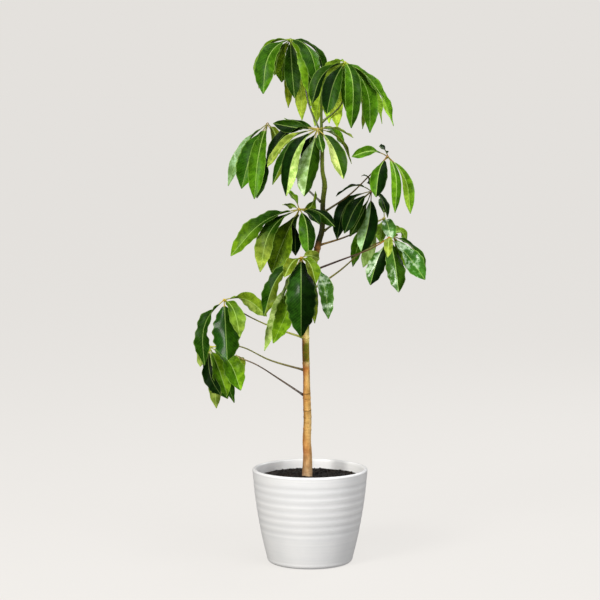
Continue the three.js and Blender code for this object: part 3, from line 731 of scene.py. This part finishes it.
# The blade's section at each ring, as points across it and up from it: its upper side and then its
# underside. The halves rise from the rib by the fold and bulge a little. Waves and smaller frills lift
# the edge, puckers lift the skin between side veins, and scallops move the edge out and in.
def bladeSections(u, v, half, blade, width, fold, wave, phase):
    u = u[:, None]
    a = np.abs(v)[None]
    full = np.minimum(1, 4 * half / width)
    scallop = leaf["scallop"] * wave
    lobes = 1 + scallop * waveDown(u, blade, leaf["leftScallops"], phase[0]) * (v > 0) * a**2
    lobes = lobes + scallop * waveDown(u, blade, leaf["rightScallops"], phase[1]) * (v < 0) * a**2
    out = half * math.cos(fold) * v * lobes
    rise = half * math.sin(fold) * (np.sqrt(v**2 + 0.0025) - 0.05)
    bulge = -np.sign(fold) * leaf["camber"] * half * np.sin(math.pi * a)
    waves = max(4, round(blade / leaf["ringSpacing"]))
    ripple = wave * full * np.cos(math.pi * (u * waves - 0.5)) * np.sign(v) * a**2
    sidePhase = np.where(v > 0, phase[2], phase[3])
    frill = leaf["frill"] * wave * full * a**2.5 * waveDown(u, blade, leaf["frillSpacing"], sidePhase)
    veins = (u * blade - a * half * 0.8) / leaf["veinSpacing"]
    pucker = leaf["pucker"] * full * np.sin(2 * math.pi * veins) * a * (1 - a)
    lift = rise + bulge + ripple + frill + pucker
    thick = leaf["edge"] + (leaf["middle"] - leaf["edge"]) * (1 - a**2)
    rib = leaf["rib"] * (1 - 0.7 * u) * np.exp(-((v * half / 1.3) ** 2))
    upper = np.stack([out, lift + thick / 2], -1)
    lower = np.stack([out, lift - thick / 2 - rib], -1)
    return np.concatenate([upper, lower[:, ::-1]], 1)


# A leaflet as rings of points square to its middle line: a small circle on its stalk turns into the blade's
# section over the blade's first twentieth, and rolls about the line as it bends. Also each point's place
# (across the blade, down it, and 0 at the rib to 1 at the edge) and its side, 1 above and 0 below.
def leafletRings(hub, stem, row, random):
    azimuth, slopeStart, slopeEnd, length, width, roll, fold, wave, _ = row
    azimuth, roll, fold = np.radians([azimuth, roll, fold])
    stalk = min(stem, length / 5)
    blade = length - stalk
    u, t = leafletPlaces(stalk, length)
    line = midline(hub, azimuth, slopeStart, slopeEnd, length)
    forward = alongLine(line, t + 0.01) - alongLine(line, t - 0.01)
    forward /= np.linalg.norm(forward, axis=1, keepdims=True)
    level = np.array([-math.sin(azimuth), math.cos(azimuth), 0.0])
    up = np.cross(forward, level)
    turn = (roll * ease(t))[:, None]
    right = level * np.cos(turn) + up * np.sin(turn)
    normal = np.cross(forward, right)

    v = np.array(leaf["acrossHalf"])
    v = np.concatenate([v, [0.0], -v[::-1]])
    half = halfWidths(u, width)
    phase = random.uniform(0, 2 * math.pi, 4)
    section = bladeSections(u, v, half, blade, width, fold, wave, phase)
    angle = np.radians(np.linspace(8, 172, len(v)))
    angle = np.concatenate([angle, angle + math.pi])
    circle = leaf["stalkRadius"] * np.stack([np.cos(angle), np.sin(angle)], -1)
    share = softStep(u / 0.05)[:, None, None]
    section = circle * (1 - share) + section * share
    centre = alongLine(line, t)
    rings = centre[:, None] + section[..., :1] * right[:, None] + section[..., 1:] * normal[:, None]

    across = np.concatenate([v * half, (v * half)[:, ::-1]], 1)
    down = np.broadcast_to((u * blade)[:, None], across.shape)
    edge = np.broadcast_to(np.tile(np.abs(v), 2), across.shape)
    side = np.broadcast_to(np.repeat([1.0, 0.0], len(v)), across.shape)
    return rings, np.stack([across, down, edge], -1), side


def leafMaterial():
    s = Shader("leafSkin", Coat_Roughness=0.2, Specular_IOR_Level=0.05, Emission_Strength=1)
    across, down, edge = s.parts(s.read("place"))
    upper = s.read("side", "Fac")
    gloss = s.read("gloss", "Fac")
    tone = s.read("tone", "Color")
    green = s.parts(tone)[1]
    across = s.math("ABSOLUTE", across)
    cloud = s.noise(26, 3)
    blotch = s.noise(64, 2)
    fine = s.noise(210, 3)
    ribWidth = s.math("MAXIMUM", 1.3 - down * 0.006, 0.1)
    rib = s.step(across - ribWidth, 0.8, -0.2)
    # side veins leave the rib aslant and fade out towards the edge
    count = (down - across * 0.95 + (cloud - 0.5) * 5) / leaf["veinSpacing"]
    line = s.math("ABSOLUTE", s.math("FRACT", count) - 0.5) * 2
    vein = s.step(line, 0.8, 0.98) * s.step(edge, 0.98, 0.55)
    light = s.step(green, 0.0, 0.12)
    ground = s.shade(tone, s.step(cloud, 0.3, 0.72), leaf["cloud"])
    ground = s.shade(ground, s.step(blotch, 0.36, 0.6), leaf["blotch"])
    ground = s.shade(ground, s.step(fine, 0.3, 0.7), leaf["fine"])
    colour = s.mix(vein * light * (0.16 + 0.1 * upper), ground, leaf["vein"])
    colour = s.mix(s.step(edge, 0.88, 1.0) * (0.16 + light * 0.24), colour, leaf["rim"])
    colour = s.mix(rib * s.step(down, 0.5, 8) * (0.14 + light * 0.34), colour, leaf["ribTone"])
    # painted highlights: shiny leaflets get pale patches
    pale = s.step(cloud * 0.5 + blotch * 0.4 + fine * 0.1, 0.5, 0.62) * s.step(gloss, 0.1, 0.5)
    colour = s.mix(pale * 0.62, colour, leaf["pale"])
    s.bump(vein * -0.5 + fine * 0.05 + s.step(line, 0.0, 0.9) * -0.4, 0.4, 0.0006)
    roughness = 0.58 - upper * 0.12 + (fine - 0.5) * 0.12
    # painted glow: lit-through leaflets give off their own colour as light
    through = s.mix(s.read("glow", "Fac"), tint(0, 0, 0), colour)
    return s.finish(Base_Color=colour, Roughness=roughness, Coat_Weight=gloss, Emission_Color=through)


# A frond's long stalk: a round rod from just inside the trunk's skin. It narrows to its middle from a foot
# with a collar, and swells into a knob with a domed end at the hub.
def frondStalkRings(root, bends, hub):
    f = frondStalk
    start, trunkRadius = trunkAt(root)
    places = np.linspace(0, 1, f["rows"])
    line = smoothPath(np.vstack([start, bends, hub]), places)
    outside = np.linalg.norm(line - start, axis=1) >= trunkRadius - f["inside"]
    line, places = line[outside], places[outside]
    radius = f["radius"] + (f["foot"] - f["radius"]) * (1 - np.clip(places * 2, 0, 1))
    fromRoot = np.linalg.norm(line - line[0], axis=1)
    radius = radius + f["collar"] * np.exp(-((fromRoot / f["collarLength"]) ** 2))
    knob = softStep((places - 1 + f["knobLength"]) / f["knobLength"])
    radius = radius + (f["hub"] - f["radius"]) * knob
    ahead = (line[-1] - line[-2]) / np.linalg.norm(line[-1] - line[-2])
    dome = np.radians(f["dome"])
    cap = line[-1] + f["domeHeight"] * f["hub"] * np.sin(dome)[:, None] * ahead
    radius = np.concatenate([radius, f["hub"] * np.cos(dome)])
    places = np.concatenate([places, np.ones(len(dome))])
    return rodRings(np.vstack([line, cap]), radius, f["sides"]), places


def stalkMaterial():
    s = Shader("stalkSkin", Coat_Weight=0.15, Coat_Roughness=0.3)
    streak = s.noise(150, 3)
    colour = s.shade(s.read("tone", "Color"), s.step(streak, 0.35, 0.7), frondStalk["worn"])
    s.bump(streak, 0.2, 0.0005)
    return s.finish(Base_Color=colour, Roughness=0.42 + (streak - 0.5) * 0.2)


# A letter's upper colour, underside colour, gloss and glow as eight numbers
def letterLook(letter):
    upper, under, gloss, glow = greens[letter]
    return np.array([*tint(*upper, alpha=False), *tint(*under, alpha=False), gloss, glow])


# Colour, gloss and glow of a leaflet's points from its letters, a little lighter or warmer from leaflet to
# leaflet and lighter towards the tip. Its stalk has the hub's colour.
def leafletLook(letters, place, side, hubTone, random):
    light = random.uniform(*leaf["light"])
    warm = np.array([random.uniform(*leaf["red"]), 1, random.uniform(*leaf["blue"])])
    first, second, last = letters[0], letters[:2][-1], letters[-1]
    right = (place[..., :1] > 0) * 1.0
    down = place[..., 1:2] / place[..., 1].max()
    tip = np.clip((down - leaf["tipFrom"]) / leaf["tipFade"], 0, 1) * (len(letters) > 2)
    # the halves take their own letters, which paint light on one half and shade on the other
    look = (letterLook(first) * (1 - right) * (1 - tip) + letterLook(second) * right * (1 - tip)
            + letterLook(last) * tip)
    tone = np.where(side[..., None] > 0.5, look[..., :3], look[..., 3:6])
    tone = tone * light * warm * (0.86 + 0.46 * down**1.5)
    return np.where(down > 0.02, tone, hubTone), side * look[..., 6], look[..., 7]


# One piece for each frond: its long stalk and its leaflets, each a closed tube of rings.
def buildFronds():
    leafSkin, stalkSkin = leafMaterial(), stalkMaterial()
    for number, (name, root, bends, hub, stem, leaflets) in enumerate(fronds):
        random = np.random.default_rng(leaf["seed"] + number)
        stalkTones = np.array([tint(*colour, alpha=False) for colour in stalks[name]])
        rings, places = frondStalkRings(root, bends, hub)
        rows, sides = rings.shape[:2]
        faces = closedTube(rows, sides)
        stalkFaces = len(faces)
        start = rows * sides
        tone = [np.interp(places, frondStalk["tonePlaces"], stalkTones[:, k]) for k in range(3)]
        points = [rings.reshape(-1, 3)]
        tones = [np.repeat(np.stack(tone, -1), sides, 0)]
        placed = [np.tile([0.0, -1.0, 0.0], (start, 1))]
        side, gloss, glow = [np.zeros(start)], [np.zeros(start)], [np.zeros(start)]
        for row in leaflets:
            leafRings, leafPlace, leafSide = leafletRings(np.array(hub, float), stem, row, random)
            leafTone, leafGloss, leafGlow = leafletLook(row[-1], leafPlace, leafSide, stalkTones[-1], random)
            rows, sides = leafRings.shape[:2]
            faces += closedTube(rows, sides, start)
            start += rows * sides
            points.append(leafRings.reshape(-1, 3))
            tones.append(leafTone.reshape(-1, 3))
            placed.append(leafPlace.reshape(-1, 3))
            side.append(leafSide.ravel())
            gloss.append(leafGloss.ravel())
            glow.append(leafGlow.ravel())
        attributes = {"tone": np.vstack(tones), "place": np.vstack(placed), "side": np.concatenate(side),
                      "gloss": np.concatenate(gloss), "glow": np.concatenate(glow)}
        pieceName = name.replace("frond", "leaves")
        piece = makePiece(pieceName, np.vstack(points), faces, stalkSkin, [name], attributes)
        piece.data.materials.append(leafSkin)
        skin = np.ones(len(faces), np.int32)
        skin[:stalkFaces] = 0
        piece.data.polygons.foreach_set("material_index", skin)
        print(name, "made:", len(faces), "faces")


buildFronds()


# Floor, light and camera

studio = dict(
    floorReach=300, floor=tint(86, 85, 84), glow=tint(225, 222.2, 218.4), glowStrength=1,
    wall=tint(228, 225, 221), fill=0.3,
    # name, place, aimed at, size, power, colour
    lamps=[
        ["key", (-3.1, -4.0, 2.9), (0, 0, 0.8), 1.7, 325, (1.0, 0.98, 0.93)],
        ["front", (3.3, -4.1, 0.9), (0, 0, 0.3), 2.2, 120, (1.0, 1.0, 1.0)],
        ["top", (0.6, -1.2, 4.2), (0, 0, 0.8), 1.6, 90, (1.0, 1.0, 1.0)],
        ["rim", (2.4, 2.6, 3.0), (0, 0, 0.9), 1.6, 50, (0.97, 0.99, 1.0)],
    ],
    cameraAt=(-0.028, -6.0, 1.323), lookAt=(-0.028, 0, 0.738), lens=129.96, sensor=36,
)


# Turns a lamp or camera so that its own back axis points away from the target.
def aim(thing, target):
    way = Vector(target) - thing.location
    thing.rotation_euler = way.to_track_quat("-Z", "Y").to_euler()


# A flat floor that glows as brightly as the wall behind it, so that no line shows between them.
def layFloor():
    reach = studio["floorReach"]
    mesh = bpy.data.meshes.new("floor")
    corners = [(-reach, -reach, 0), (reach, -reach, 0), (reach, reach, 0), (-reach, reach, 0)]
    mesh.from_pydata(corners, [], [(0, 1, 2, 3)])
    floor = bpy.data.objects.new("floor", mesh)
    scene.collection.objects.link(floor)
    s = Shader("paleFloor", Roughness=0.75, Specular_IOR_Level=0)
    mesh.materials.append(s.finish(Base_Color=studio["floor"], Emission_Color=studio["glow"],
                                   Emission_Strength=studio["glowStrength"]))
    floor.visible_diffuse = False  # so that its glow doesn't light the plant from below
    floor.visible_glossy = False


# The world shows the wall's colour to the camera at full strength and lights the plant with a share of it.
def paintWall():
    world = bpy.data.worlds.new("studio")
    scene.world = world
    world.use_nodes = True
    nodes, links = world.node_tree.nodes, world.node_tree.links
    back = nodes["Background"]
    back.inputs["Color"].default_value = studio["wall"]
    path = nodes.new("ShaderNodeLightPath")
    pick = nodes.new("ShaderNodeMapRange")
    pick.inputs["To Min"].default_value = studio["fill"]
    links.new(path.outputs["Is Camera Ray"], pick.inputs["Value"])
    links.new(pick.outputs[0], back.inputs["Strength"])


def hangLamps():
    for name, at, target, width, power, colour in studio["lamps"]:
        lamp = bpy.data.lights.new(name, "AREA")
        lamp.size = width
        lamp.energy = power
        lamp.color = colour
        holder = bpy.data.objects.new(name, lamp)
        scene.collection.objects.link(holder)
        holder.location = at
        aim(holder, target)
        holder.visible_glossy = name != "front"  # the front lamp only fills, without highlights


def placeCamera():
    camera = bpy.data.objects.new("camera", bpy.data.cameras.new("camera"))
    scene.collection.objects.link(camera)
    camera.location = studio["cameraAt"]
    aim(camera, studio["lookAt"])
    camera.data.lens = studio["lens"]
    camera.data.sensor_width = studio["sensor"]
    scene.camera = camera


layFloor()
paintWall()
hangLamps()
placeCamera()
print("studio made")
